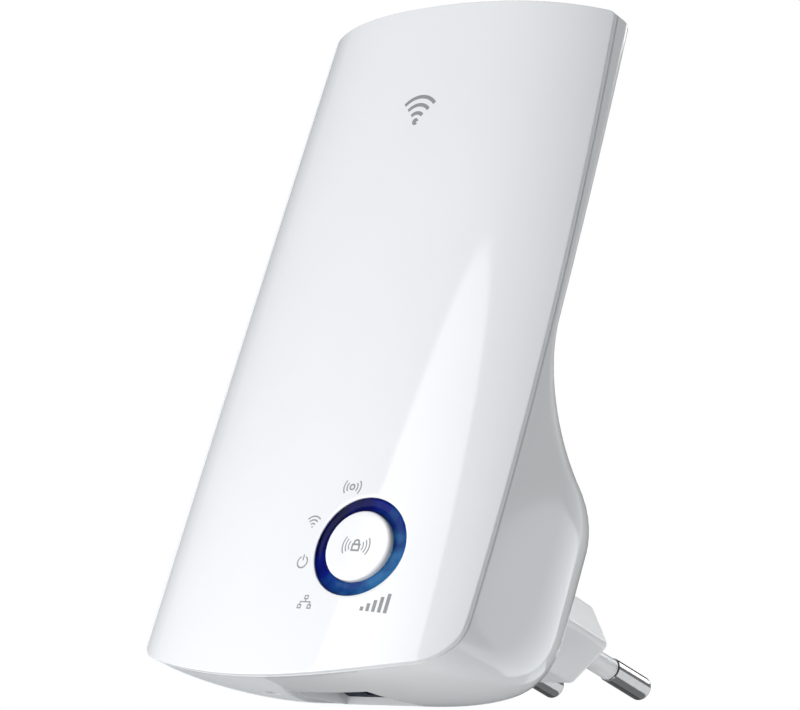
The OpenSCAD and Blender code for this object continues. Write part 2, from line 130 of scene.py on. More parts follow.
def shell_rows(inset, bow=16, corner=14, step=1.1, top=8):
    """Heights of the rows that carry a shell's surface, closer together where it curves."""
    bow_part = [BOW_Z - (BOW_R - inset) * math.cos(BOW_ANGLE * (k + 0.1) / bow)
                for k in range(bow)]
    turn = math.pi / 2 - BOW_ANGLE
    corner_part = [CORNER_Z - (CORNER_R - inset) * math.cos(BOW_ANGLE + turn * k / corner)
                   for k in range(corner)]
    count = round((TOP_CORNER_Z - CORNER_Z) / step)
    side_part = list(np.linspace(CORNER_Z, TOP_CORNER_Z, count + 1))
    top_part = [TOP_CORNER_Z + (TOP_CORNER_R - inset) * math.sin(math.pi / 2 * (k + 1) / top)
                for k in range(top)]
    return np.array(bow_part + corner_part + side_part + top_part)


COLUMNS = np.sin(np.radians(np.linspace(-90, 90, 97)))


# ---- Surfaces, each giving y at a place (x, z) --------------------------------------------

def seam_y(x, z):
    """The seam follows the crowned face at the thickness of the cover."""
    s = np.minimum(1, np.abs(x) / side_w(z))
    crown = (CROWN_ROUND * (1 - s ** 2) + CROWN_SQUARE * (1 - s ** 4)
             + CROWN_EDGE * (1 - s ** 10))
    return SEAM_BOW * (1 - level(z) ** 2) - SEAM_DEPTH - SEAM_TILT * level(z) - crown


def front_y(x, z):
    """The crowned face of the cover."""
    return seam_y(x, z) - RIM_H


NOSE_Z = SHOULDER_TOP - math.sqrt(
    (SHOULDER_R + NOSE_R) ** 2 - (SHOULDER_R - EDGE_DEPTH + NOSE_R) ** 2)
NOSE_END_Z = NOSE_Z + NOSE_R * (SHOULDER_TOP - NOSE_Z) / (SHOULDER_R + NOSE_R)


def bulge(z):
    """Share of the bulge at a height: a hollow arc that runs tangent into a rounded nose."""
    hollow = SHOULDER_R - np.sqrt(np.maximum(0, SHOULDER_R ** 2 - (SHOULDER_TOP - z) ** 2))
    nose = EDGE_DEPTH - NOSE_R + np.sqrt(np.maximum(0, NOSE_R ** 2 - (z - NOSE_Z) ** 2))
    return np.select([z >= SHOULDER_TOP, z > NOSE_END_Z, z > NOSE_Z],
                     [0, hollow, nose], EDGE_DEPTH) / EDGE_DEPTH


def mix(a, b, t):
    """The value a share t of the way from a to b."""
    return a + (b - a) * t


def rounding(distance, r):
    """Quarter-round rise from 0 at an edge to 1 at a distance r from it."""
    return np.sqrt(np.maximum(0, 1 - (1 - np.clip(distance / r, 0, 1)) ** 2))


def back_y(x, z):
    """The back of the rear shell: thin at the top, with the bulge and its underside below."""
    share = bulge(z)
    base = share * (1 - rounding(z - Z_BASE, BASE_RISE) ** BASE_POWER)
    r = mix(THIN_R, BULGE_R, share)
    w = half_w(np.clip(z, Z_BASE + 0.001, Z_TOP), 0)
    side = rounding(w - np.minimum(w, np.abs(x)), r) * (1 - base)
    top = THIN_R * (1 - rounding(Z_TOP - z, THIN_R))
    swell = BACK_CROWN * (1 - share) * (1 - np.minimum(1, np.abs(x) / w) ** 4)
    edge = mix(THIN_EDGE, BULGE_EDGE, share) + BASE_REACH * base
    return np.maximum((r + BASE_REACH * base) * side + swell - top - edge,
                      seam_y(x, z) + SEAM_GAP + REAR_RIM)


def housing_inner_y(x, z):
    """The hollow of the rear shell, a wall's thickness inside its back."""
    x_out = x * half_w(z, 0) / np.maximum(1, half_w(z, WALL))
    nearest = np.minimum(np.minimum(back_y(x_out, z + WALL), back_y(x_out, z)),
                         back_y(x_out, z - WALL))
    return np.maximum(nearest - 0.7 * WALL, seam_y(x, z) + SEAM_GAP + 0.05)


# ---- Mesh building ------------------------------------------------------------------------

class Mesh:
    """Collects vertices in millimetres and faces, then makes one Blender object."""

    def __init__(self):
        self.verts = []
        self.faces = []

    def add(self, points):
        """Adds points and returns their numbers."""
        start = len(self.verts)
        self.verts.extend(tuple(p) for p in points)
        return list(range(start, len(self.verts)))

    def bridge(self, a, b, closed=True):
        """Quads between two rows of points of equal length."""
        last = len(a) if closed else len(a) - 1
        for k in range(last):
            n = (k + 1) % len(a)
            self.faces.append((a[k], a[n], b[n], b[k]))

    def follow(self, ids, rings):
        """Carries a surface on from a row of points through more rings, and returns the last."""
        for ring in rings:
            after = self.add(ring)
            self.bridge(ids, after)
            ids = after
        return ids

    def loops(self, rings, cap_first=False, cap_last=False):
        """Joins rings of points in order, and closes the ends with one face where asked."""
        ids = [self.add(ring) for ring in rings]
        for a, b in zip(ids, ids[1:]):
            self.bridge(a, b)
        if cap_first:
            self.faces.append(tuple(reversed(ids[0])))
        if cap_last:
            self.faces.append(tuple(ids[-1]))
        return ids

    def build(self, name, body, *nodes, sharp=35):
        """Makes the object, with hard edges where faces meet at more than the sharp angle."""
        data = bpy.data.meshes.new(name)
        data.from_pydata([[c * MM for c in v] for v in self.verts], [], self.faces)
        bm = bmesh.new()
        bm.from_mesh(data)
        bmesh.ops.delete(bm, geom=[v for v in bm.verts if not v.link_faces], context="VERTS")
        bmesh.ops.remove_doubles(bm, verts=bm.verts, dist=1e-7)
        bmesh.ops.recalc_face_normals(bm, faces=bm.faces)
        limit = math.radians(sharp)
        for edge in bm.edges:
            if len(edge.link_faces) == 2 and edge.calc_face_angle(0) > limit:
                edge.smooth = False
        bm.to_mesh(data)
        bm.free()
        data.polygons.foreach_set("use_smooth", [True] * len(data.polygons))
        obj = bpy.data.objects.new(name, data)
        bpy.context.scene.collection.objects.link(obj)
        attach(obj, body)
        if nodes:
            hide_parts(*nodes)
        return obj


def border_points(inset, y_of):
    """The outline at an inset, once round, one point for each row and column end."""
    rows = shell_rows(inset)
    w = half_w(rows, inset)
    x = np.concatenate([COLUMNS * w[0], w[1:], (COLUMNS * w[-1])[::-1][1:], -w[::-1][1:-1]])
    z = np.concatenate([np.full(len(COLUMNS), rows[0]), rows[1:],
                        np.full(len(COLUMNS) - 1, rows[-1]), rows[::-1][1:-1]])
    y = y_of(x, z)
    return np.stack([x, y, z], axis=1)


def sheet(mesh, inset, y_of, hole_r=None):
    """One surface over the outline. Returns its border and, round the button, its hole."""
    rows = shell_rows(inset)
    n = len(COLUMNS)
    x = COLUMNS[None, :] * half_w(rows, inset)[:, None]
    z = np.repeat(rows[:, None], n, axis=1)
    ids = np.array(mesh.add(np.stack([x, y_of(x, z), z], axis=2).reshape(-1, 3)))
    ids = ids.reshape(len(rows), n)
    # The square of the grid that the rings round the button take the place of
    r0 = r1 = c0 = c1 = 0
    if hole_r:
        reach = 11.5
        middle = int(np.argmin(np.abs(rows - RING_Z)))
        r0, r1 = [int(np.searchsorted(rows, RING_Z + side * reach)) for side in (-1, 1)]
        c0, c1 = [int(np.searchsorted(x[middle], RING_X + side * reach)) for side in (-1, 1)]
    for r in range(len(rows) - 1):
        for c in range(n - 1):
            if not (r0 <= r < r1 and c0 <= c < c1):
                mesh.faces.append((ids[r, c], ids[r, c + 1], ids[r + 1, c + 1], ids[r + 1, c]))
    border = list(np.concatenate([ids[0, :], ids[1:, -1], ids[-1, ::-1][1:],
                                  ids[::-1, 0][1:-1]]))
    if not hole_r:
        return border, None
    square = np.concatenate([ids[r0, c0:c1], ids[r0:r1, c1], ids[r1, c1:c0:-1],
                             ids[r1:r0:-1, c0]])
    around = np.array([mesh.verts[i] for i in square])
    direction = np.arctan2(around[:, 2] - RING_Z, around[:, 0] - RING_X)
    on_circle = np.stack([RING_X + hole_r * np.cos(direction),
                          RING_Z + hole_r * np.sin(direction)], axis=1)
    rings = []
    steps = 8
    for k in range(1, steps + 1):
        px = mix(around[:, 0], on_circle[:, 0], k / steps)
        pz = mix(around[:, 2], on_circle[:, 1], k / steps)
        rings.append(np.stack([px, y_of(px, pz), pz], axis=1))
    return border, (mesh.follow(list(square), rings), direction)


def circle_points(direction, r, y_of):
    """A circle round the button's axis, laid on a surface."""
    x = RING_X + r * np.cos(direction)
    z = RING_Z + r * np.sin(direction)
    return np.stack([x, y_of(x, z), z], axis=1)


def bend(p0, p1, p2, steps=4):
    """Points of a quadratic curve from p0 to p2, without p0."""
    ts = [(k + 1) / steps for k in range(steps)]
    return [(1 - t) ** 2 * p0 + 2 * t * (1 - t) * p1 + t ** 2 * p2 for t in ts]


def flat(y):
    """A flat surface at y."""
    return lambda x, z: np.full(np.shape(x), float(y))


def raised(y_of, by):
    """A surface moved back by a distance."""
    return lambda x, z: y_of(x, z) + by


def shift_y(points, by):
    """Points moved back by a distance."""
    out = points.copy()
    out[:, 1] += by
    return out


# ---- Casing -------------------------------------------------------------------------------

def front_cover():
    """Crowned cover: a thin shell with a fine rounding at its edge and at the ring's hole."""
    mesh = Mesh()
    edge, chamfer, rim_w, inner_inset = 0.14, 0.08, 0.3, 0.6
    lip = 0.12
    hole_r = RING_OUTER_R + 0.05
    border, (hole, direction) = sheet(mesh, edge, front_y, hole_r + lip)
    corner = border_points(0, front_y)
    rings = bend(border_points(edge, front_y), corner, shift_y(corner, edge), 3)
    rings += [shift_y(border_points(0, seam_y), -2 * chamfer),
              shift_y(border_points(0, seam_y), -chamfer),
              border_points(chamfer, seam_y), border_points(rim_w, seam_y)]
    inner_border, (inner_hole, inner_direction) = sheet(mesh, inner_inset, seam_y, COLLAR_R)
    mesh.bridge(mesh.follow(border, rings), inner_border)
    # Edge of the hole, its wall and the collar that holds the light ring
    wall_top = circle_points(direction, hole_r, front_y)
    rings = bend(circle_points(direction, hole_r + lip, front_y), wall_top,
                 shift_y(wall_top, lip), 3)
    rings += [circle_points(direction, hole_r, raised(front_y, 2 * lip)),
              circle_points(direction, hole_r, flat(COLLAR_END)),
              circle_points(inner_direction, COLLAR_R, flat(COLLAR_END))]
    mesh.bridge(mesh.follow(hole, rings), inner_hole)
    return mesh.build("cover_shell", "root", "front_cover", sharp=60)


def cut(obj, cutters):
    """Cuts closed meshes out of obj, and keeps the smooth shading of what is left."""
    source = obj.data
    source.update()
    smooth = [Vector(n.vector) for n in source.vertex_normals]
    tree = BVHTree.FromPolygons([v.co for v in source.vertices],
                                [p.vertices for p in source.polygons])
    rings = [list(p.vertices) for p in source.polygons]
    places = [v.co.copy() for v in source.vertices]
    for cutter in cutters:
        modifier = obj.modifiers.new("cut", "BOOLEAN")
        modifier.object = cutter
        modifier.operation = "DIFFERENCE"
        modifier.solver = "EXACT"
    bpy.context.view_layer.update()
    graph = bpy.context.evaluated_depsgraph_get()
    data = bpy.data.meshes.new_from_object(obj.evaluated_get(graph))
    obj.modifiers.clear()
    obj.data = data
    for cutter in cutters:
        bpy.data.objects.remove(cutter)
    touching, aligned = 2e-6, 0.9
    normals = []
    for polygon in data.polygons:
        _, face_normal, index, gap = tree.find_nearest(polygon.center)
        on_surface = gap < touching and abs(polygon.normal.dot(face_normal)) > aligned
        for corner in polygon.vertices:
            normal = polygon.normal
            if on_surface:
                # The old corners' normals, weighted by how close each of them is
                total = Vector()
                for i in rings[index]:
                    away = (places[i] - data.vertices[corner].co).length
                    total += smooth[i] / max(away, 1e-7) ** 2
                normal = total.normalized()
            normals.append(normal)
    data.polygons.foreach_set("use_smooth", [True] * len(data.polygons))
    data.normals_split_custom_set(normals)
    return obj


def cutter_object(mesh):
    """A closed mesh as an object that cut() uses up."""
    data = bpy.data.meshes.new("cutter")
    data.from_pydata([[c * MM for c in v] for v in mesh.verts], [], mesh.faces)
    bm = bmesh.new()
    bm.from_mesh(data)
    bmesh.ops.recalc_face_normals(bm, faces=bm.faces)
    bm.to_mesh(data)
    bm.free()
    obj = bpy.data.objects.new("cutter", data)
    bpy.context.scene.collection.objects.link(obj)
    return obj


def rounded_polygon(corners, r, segments=6):
    """Outline of a polygon with rounded corners, as an array of (a, b)."""
    points = []
    count = len(corners)
    for k in range(count):
        here = np.array(corners[k], float)
        before = np.array(corners[k - 1], float) - here
        after = np.array(corners[(k + 1) % count], float) - here
        before /= np.linalg.norm(before)
        after /= np.linalg.norm(after)
        half = math.acos(np.clip(before @ after, -1, 1)) / 2
        start = here + before * r / math.tan(half)
        end = here + after * r / math.tan(half)
        centre = here + (before + after) / np.linalg.norm(before + after) * r / math.sin(half)
        a0, a1 = [math.atan2(*(p - centre)[::-1]) for p in (start, end)]
        turn = (a1 - a0 + math.pi) % (2 * math.pi) - math.pi
        for j in range(segments + 1):
            angle = a0 + turn * j / segments
            points.append(centre + r * np.array([math.cos(angle), math.sin(angle)]))
    return np.array(points)


def plug_outline(grow, r):
    """Rounded hexagon of the plug block, seen from behind, as (x, z)."""
    half = (PLUG_HIGH[0] - PLUG_LOW[0]) / 2 - FLANGE_W
    rise = (PLUG_HIGH[2] - PLUG_LOW[2]) / 2 - FLANGE_W
    flat_half = 12.1
    a, b, c = half + grow, flat_half + grow / 2, rise + grow
    return rounded_polygon([(a, 0), (b, c), (-b, c), (-a, 0), (-b, -c), (b, -c)], r)


def at_y(outline, y):
    """An outline (x, z) placed at y."""
    return [(p[0], y, p[1]) for p in outline]


def at_z(outline, z):
    """An outline (x, y) placed at z."""
    return [(p[0], p[1], z) for p in outline]


def rear_housing():
    """Rear shell with a wall all round, cut open for the plug, the port and the reset hole."""
    edge, edge_end, rim_w = 0.14, 0.3, 0.4
    port_left, port_right, port_front, port_back, port_corner_r = -3.6, 12.8, -44.0, -31.4, 0.35
    reset_x, reset_y, reset_r = -9, -41.8, 1.2
    plug_gap, plug_corner_r = 0.1, 1.0
    mesh = Mesh()
    front = raised(seam_y, SEAM_GAP)
    border, _ = sheet(mesh, 0, back_y)
    inner_border, _ = sheet(mesh, WALL, housing_inner_y)
    outside = border_points(0, front)
    rings = [shift_y(outside, edge_end), shift_y(outside, edge)]
    rings += [border_points(inset, front) for inset in (edge, rim_w, WALL)]
    mesh.bridge(mesh.follow(border, rings), inner_border)
    obj = mesh.build("rear_shell", "root", "rear_housing")
    plug_hole, port, reset = Mesh(), Mesh(), Mesh()
    plug_hole.loops([at_y(plug_outline(plug_gap, plug_corner_r), y) for y in (-30, 1)],
                    True, True)
    corners = [(port_left, port_front), (port_right, port_front), (port_right, port_back),
               (port_left, port_back)]
    port.loops([at_z(rounded_polygon(corners, port_corner_r), z) for z in (-30, -19)],
               True, True)
    turn = np.linspace(0, 2 * math.pi, 40, endpoint=False)
    hole = np.stack([reset_x + reset_r * np.cos(turn), reset_y + reset_r * np.sin(turn)], axis=1)
    reset.loops([at_z(hole, z) for z in (-30, -20)], True, True)
    return cut(obj, [cutter_object(m) for m in (plug_hole, port, reset)])


# ---- Plug ---------------------------------------------------------------------------------

def lathe(mesh, x, z, profile, segments=64):
    """Turns a profile of (radius, y) round an axis along Y; a radius of 0 closes an end."""
    turn = np.linspace(0, 2 * math.pi, segments, endpoint=False)
    rings = []
    for r, y in profile:
        rings.append(np.stack([x + r * np.cos(turn), np.full(segments, y),
                               z + r * np.sin(turn)], axis=1))
    if profile[0] == profile[-1]:
        ids = [mesh.add(ring) for ring in rings[:-1]]
        ids.append(ids[0])
        for a, b in zip(ids, ids[1:]):
            mesh.bridge(a, b)
    else:
        mesh.loops(rings, True, True)


def arc_profile(r_centre, y_centre, r, start, end, steps=6):
    """Profile points of an arc in the (radius, y) plane, angles in degrees."""
    angles = np.radians(np.linspace(start, end, steps + 1))
    return [(r_centre + r * math.cos(a), y_centre + r * math.sin(a)) for a in angles]


PIN_R, SHANK_R = 2, 1.5
PIN_X = (PIN_HIGH[0] - PIN_LOW[0]) / 2 - PIN_R
FLANGE_FRONT, FLANGE_BACK = PLUG_LOW[1], PLUG_LOW[1] + 1.5


def plug_block():
    """Hexagonal block with a flange inside the shell, a slight draft and a rounded end."""
    draft, edge, side_r, end_r, face_inset, bore_r = 0.35, 0.8, 1.1, 0.6, 0.8, 1.82
    steps = 7
    mesh = Mesh()
    rings = [at_y(plug_outline(FLANGE_W, side_r), FLANGE_FRONT),
             at_y(plug_outline(FLANGE_W, side_r), FLANGE_BACK),
             at_y(plug_outline(0, side_r), FLANGE_BACK)]
    for k in range(1, steps + 1):
        y = mix(FLANGE_BACK, -edge, k / steps)
        rings.append(at_y(plug_outline(-draft * k / steps, side_r), y))
    for k in range(1, steps):
        a = math.pi / 2 * k / 6
        rings.append(at_y(plug_outline(-draft - edge * (1 - math.cos(a)), side_r - 0.2 * k / 6),
                          -edge + edge * math.sin(a)))
    rings.append(at_y(plug_outline(-draft - edge - face_inset, end_r), 0))
    mesh.loops(rings, True, True)
    obj = mesh.build("plug_body", "root", "plug_block", sharp=50)
    bores = []
    for side in (-1, 1):
        bore = Mesh()
        lathe(bore, side * PIN_X, 0, [(bore_r, -30), (bore_r, 1)], 48)
        bores.append(cutter_object(bore))
    return cut(obj, bores)


def pins():
    """Two metal pins: a thin shank inside the sleeve, then the full contact, round at its tip."""
    tip, edge, ease = 0.9, 0.12, 0.4
    start, end = SLEEVE_HIGH[1] + 0.02, PIN_HIGH[1]
    profile = [(SHANK_R, PIN_LOW[1]), (SHANK_R, start - 0.25), (SHANK_R, start),
               (PIN_R - edge, start), (PIN_R, start + edge), (PIN_R, start + ease),
               (PIN_R, end - tip - ease)]
    profile += arc_profile(PIN_R - tip, end - tip, tip, 0, 80, 10)
    mesh = Mesh()
    for side in (-1, 1):
        lathe(mesh, side * PIN_X, 0, profile)
    return mesh.build("metal_pins", "root", "contact_pins")


def sleeves():
    """Two insulating tubes round the shanks."""
    outer = (SLEEVE_HIGH[0] - SLEEVE_LOW[0]) / 2 - PIN_X
    inner, edge = SHANK_R + 0.02, 0.12
    low, high = SLEEVE_LOW[1], SLEEVE_HIGH[1]
    profile = [(inner, low), (outer, low), (outer, high - edge - 0.2)]
    profile += arc_profile(outer - edge, high - edge, edge, 0, 90, 3)
    profile += [(inner, high), (inner, low)]
    mesh = Mesh()
    for side in (-1, 1):
        lathe(mesh, side * PIN_X, 0, profile)
    return mesh.build("pin_insulation", "root", "pin_sleeves")


# ---- Ring and button ----------------------------------------------------------------------

def turned_on_crown(name, body, node, profile, closed, segments=128, sharp=35):
    """Turns a profile round the button's axis; each step is (radius, base surface, offset)."""
    mesh = Mesh()
    turn = np.linspace(0, 2 * math.pi, segments, endpoint=False)
    rings = [circle_points(turn, r, raised(base, offset)) for r, base, offset in profile]
    ids = mesh.loops(rings, not closed, not closed)
    if closed:
        mesh.bridge(ids[-1], ids[0])
    return mesh.build(name, body, node, sharp=sharp)


def light_ring():
    """Lens ring with a shallow channel in its face, and a seat behind the cover's collar."""
    step, seat_r, back = -52.2, 6.9, RING_HIGH[1]
    channel, channel_depth, channel_lean, rise = 0.28, 0.34, 0.12, 16
    middle = (RING_OUTER_R + RING_INNER_R) / 2
    half = (RING_OUTER_R - RING_INNER_R) / 2
    profile = [(RING_INNER_R, flat(step), 0), (RING_INNER_R, front_y, 0.5),
               (RING_INNER_R, front_y, 0.42), (RING_INNER_R + 0.04, front_y, 0.33)]
    for k in range(rise + 1):
        a = math.pi * (0.06 + 0.88 * k / rise)
        depth = channel + channel_depth * math.sin(a) ** 0.8 - channel_lean * k / rise
        profile.append((middle - half * math.cos(a) * 0.93, front_y, depth))
    profile += [(RING_OUTER_R - 0.03, front_y, 0.16), (RING_OUTER_R, front_y, 0.24),
                (RING_OUTER_R, front_y, 0.4), (RING_OUTER_R, flat(COLLAR_END), 0),
                (COLLAR_R, flat(COLLAR_END), 0), (COLLAR_R, flat(back), 0),
                (seat_r, flat(back), 0), (seat_r, flat(step), 0)]
    return turned_on_crown("ring_lens", "root", "light_ring", profile, True)


def range_button():
    """Button cap that follows the crown, with a flange that holds it in and a stem behind."""
    flange_y, flange_end, stem_end = -52.1, -51.1, BUTTON_HIGH[1]
    flange_r, stem_r, stem_tip_r = BUTTON_HIGH[0] - RING_X, 1.6, 0.4
    edge, skirt = 0.42, 0.2
    profile = [(0.02, front_y, -BUTTON_PROUD)]
    for k in range(1, 9):
        profile.append(((BUTTON_R - edge) * k / 8, front_y, -BUTTON_PROUD))
    for k in range(1, 7):
        a = math.pi / 2 * k / 6
        profile.append((BUTTON_R - edge + edge * math.sin(a), front_y,
                        -BUTTON_PROUD + edge * (1 - math.cos(a))))
    profile += [(BUTTON_R, front_y, skirt), (BUTTON_R, flat(flange_y), 0),
                (flange_r, flat(flange_y), 0), (flange_r, flat(flange_end), 0),
                (stem_r, flat(flange_end), 0), (stem_r, flat(stem_end), 0),
                (stem_tip_r, flat(stem_end), 0)]
    return turned_on_crown("button_cap", "button", "range_button", profile, False)


# ---- Printed signs ------------------------------------------------------------------------

PRINT_SUNK = 0.012
THIN_LINE = 0.24


def stroke(mesh, points, width, surface, closed=False, thickness=0.03):
    """A printed line of a width along points (x, z), lying on a surface."""
    path = np.array(points, float)
    spacing = 0.25
    dense = [path[0]]
    ends = list(path[1:]) + ([path[0]] if closed else [])
    for p in ends:
        q = dense[-1]
        count = max(1, int(np.linalg.norm(p - q) / spacing))
        dense += [q + (p - q) * (k + 1) / count for k in range(count)]
    path = np.array(dense[:-1] if closed else dense)
    ahead = np.roll(path, -1, axis=0) - path
    behind = path - np.roll(path, 1, axis=0)
    if not closed:
        ahead[-1] = behind[-1]
        behind[0] = ahead[0]
    ahead /= np.linalg.norm(ahead, axis=1)[:, None]
    behind /= np.linalg.norm(behind, axis=1)[:, None]
    along = ahead + behind
    along /= np.linalg.norm(along, axis=1)[:, None]
    stretch = 1 / np.maximum(0.5, np.sum(along * ahead, axis=1))
    across = np.stack([-along[:, 1], along[:, 0]], axis=1) * (width / 2 * stretch)[:, None]
    sides = []
    for sign, depth in ((-1, thickness), (-1, 0), (1, 0), (1, thickness)):
        p = path + sign * across
        y = surface(p[:, 0], p[:, 1]) - PRINT_SUNK + depth
        sides.append(mesh.add(np.stack([p[:, 0], y, p[:, 1]], axis=1)))
    for a, b in zip(sides, sides[1:] + sides[:1]):
        mesh.bridge(a, b, closed)
    if not closed:
        mesh.faces.append(tuple(s[0] for s in sides))
        mesh.faces.append(tuple(s[-1] for s in reversed(sides)))


def arc_points(x, z, r, start, end, steps=16):
    """Points (x, z) on an arc, angles in degrees."""
    angles = np.radians(np.linspace(start, end, steps + 1))
    return [(x + r * math.cos(a), z + r * math.sin(a)) for a in angles]


def button_sign():
    """Padlock between two sets of waves."""
    mesh = Mesh()
    top = raised(front_y, -BUTTON_PROUD)
    x, z = RING_X, RING_Z
    line, body_half, shackle_r, foot = 0.3, 0.62, 0.42, 0.05
    stroke(mesh, [(x - body_half, z - 0.85), (x + body_half, z - 0.85),
                  (x + body_half, z + 0.1), (x - body_half, z + 0.1)], line, top, True)
    stroke(mesh, [(x - shackle_r, z + foot)] + arc_points(x, z + 0.4, shackle_r, 180, 0)
           + [(x + shackle_r, z + foot)], line, top)
    for r, half in ((1.3, 32), (1.85, 33), (2.4, 34)):
        width = 0.14 + 0.03 * r
        stroke(mesh, arc_points(x, z - 0.1, r, -half, half), width, top)
        stroke(mesh, arc_points(x, z - 0.1, r, 180 - half, 180 + half), width, top)
    return mesh.build("button_print", "button")


def cover_signs():
    """Generic signs on the front: waves at the top, four lamp signs and the signal bars."""
    mesh = Mesh()
    # Waves over a dot, in the middle of the upper part
    x, z = 1.4, 64.6
    for r in (1.6, 3.0, 4.4):
        stroke(mesh, arc_points(x, z, r, 45, 135), 0.62, front_y)
    stroke(mesh, arc_points(x, z + 0.1, 0.3, 0, 330), 0.6, front_y)
    # Range: a small ring with waves on both sides
    x, z = 9.8, 3.0
    stroke(mesh, arc_points(x, z, 0.42, 0, 340), 0.26, front_y, True)
    for r in (1.0, 1.6):
        stroke(mesh, arc_points(x, z, r, -40, 40), 0.22, front_y)
        stroke(mesh, arc_points(x, z, r, 140, 220), 0.22, front_y)
    # Radio: an aerial with waves
    x, z = 4.2, -3.6
    for r in (0.55, 1.15, 1.75):
        stroke(mesh, arc_points(x, z, r, 45, 135), THIN_LINE, front_y)
    stroke(mesh, [(x, z - 0.1), (x, z + 0.1)], 0.3, front_y)
    # Power: a broken circle with a bar
    x, z = 4.4, -9.3
    stroke(mesh, arc_points(x, z, 0.95, 120, 420), THIN_LINE, front_y)
    stroke(mesh, [(x, z + 0.25), (x, z + 1.2)], THIN_LINE, front_y)
    # Network: three linked boxes
    x, z = 7.4, -15.7
    apart, half_w_box, half_h_box, line = 0.95, 0.3, 0.25, 0.2
    for dx, dz in ((0, 0.75), (-apart, -0.75), (apart, -0.75)):
        left, right = x + dx - half_w_box, x + dx + half_w_box
        low, high = z + dz - half_h_box, z + dz + half_h_box
        stroke(mesh, [(left, low), (right, low), (right, high), (left, high)],
               line, front_y, True)
    stroke(mesh, [(x, z + 0.4), (x, z)], line, front_y)
    stroke(mesh, [(x - apart, z - 0.4), (x - apart, z), (x + apart, z), (x + apart, z - 0.4)],
           line, front_y)
    # Signal bars, each taller than the last
    bar_left, bar_low, bar_high = 17.95, -16.5, -15.85
    bar_pitch, bar_rise, bar_w = 0.98, 0.61, 0.56
    for k in range(5):
        bar_x = bar_left + bar_pitch * k
        stroke(mesh, [(bar_x, bar_low), (bar_x, bar_high + bar_rise * k)], bar_w, front_y)
    return mesh.build("cover_print", "root")


# ---- Materials ----------------------------------------------------------------------------

def shader(name, color, roughness, metallic=0.0, coat=0.0, ior=1.5, vary=0.04, scale=300.0,
           bump=0.0, bump_scale=900.0, wear=0.0, spread=0.04):
    """Procedural material: colour varies softly, gloss varies finely, edges can be worn."""
    material = bpy.data.materials.new(name)
    material.use_nodes = True
    nodes, links = material.node_tree.nodes, material.node_tree.links
    bsdf = nodes["Principled BSDF"]
    bsdf.inputs["Metallic"].default_value = metallic
    bsdf.inputs["IOR"].default_value = ior
    bsdf.inputs["Coat Weight"].default_value = coat
    bsdf.inputs["Coat Roughness"].default_value = 0.03
    place = nodes.new("ShaderNodeTexCoord")
    soft = nodes.new("ShaderNodeTexNoise")
    soft.inputs["Scale"].default_value = scale
    soft.inputs["Detail"].default_value = 3
    links.new(place.outputs["Object"], soft.inputs["Vector"])
    ramp = nodes.new("ShaderNodeValToRGB")
    ramp.color_ramp.elements[0].position = 0.3
    ramp.color_ramp.elements[1].position = 0.7
    ramp.color_ramp.elements[0].color = [c * (1 - vary) for c in color] + [1]
    ramp.color_ramp.elements[1].color = [min(1, c * (1 + vary)) for c in color] + [1]
    links.new(soft.outputs["Fac"], ramp.inputs["Fac"])
    tint = ramp.outputs["Color"]
    if wear:
        edge = nodes.new("ShaderNodeNewGeometry")
        mask = nodes.new("ShaderNodeValToRGB")
        mask.color_ramp.elements[0].position = 0.5
        mask.color_ramp.elements[1].position = 0.62
        links.new(edge.outputs["Pointiness"], mask.inputs["Fac"])
        worn = nodes.new("ShaderNodeMix")
        worn.data_type = "RGBA"
        worn.blend_type = "MIX"
        strength = nodes.new("ShaderNodeMath")
        strength.operation = "MULTIPLY"
        strength.inputs[1].default_value = wear
        links.new(mask.outputs["Color"], strength.inputs[0])
        links.new(strength.outputs[0], worn.inputs["Factor"])
        links.new(tint, worn.inputs["A"])
        worn.inputs["B"].default_value = [min(1, c * 1.25 + 0.05) for c in color] + [1]
        tint = worn.outputs["Result"]
    links.new(tint, bsdf.inputs["Base Color"])
    fine = nodes.new("ShaderNodeTexNoise")
    fine.inputs["Scale"].default_value = bump_scale
    fine.inputs["Detail"].default_value = 4
    links.new(place.outputs["Object"], fine.inputs["Vector"])
    gloss = nodes.new("ShaderNodeMapRange")
    gloss.inputs["To Min"].default_value = max(0.02, roughness - spread)
    gloss.inputs["To Max"].default_value = roughness + spread
    links.new(fine.outputs["Fac"], gloss.inputs["Value"])
    links.new(gloss.outputs["Result"], bsdf.inputs["Roughness"])
    if bump:
        relief = nodes.new("ShaderNodeBump")
        relief.inputs["Strength"].default_value = bump
        relief.inputs["Distance"].default_value = 0.00005
        links.new(fine.outputs["Fac"], relief.inputs["Height"])
        links.new(relief.outputs["Normal"], bsdf.inputs["Normal"])
    return material


def paint(obj, material):
    """Gives an object one material."""
    obj.data.materials.clear()
    obj.data.materials.append(material)


# Direction across the ring in which painted light makes it lighter, and the distance over which
# it does
RING_PAINTED_LIGHT_DIR, RING_REACH = (0.8, 0, -0.6), 0.008
RING_BLOTCH, RING_UNEVEN = 300, 0.2
# Colours from painted shade at the ring's upper left to painted highlight at its lower right
RING_PAINTED_LIGHT_STOPS = ((0.0, (0.0, 0.001, 0.035)), (0.2, (0.001, 0.002, 0.075)),
              (0.45, (0.001, 0.007, 0.15)), (0.7, (0.005, 0.04, 0.18)),
              (1.0, (0.025, 0.13, 0.31)))


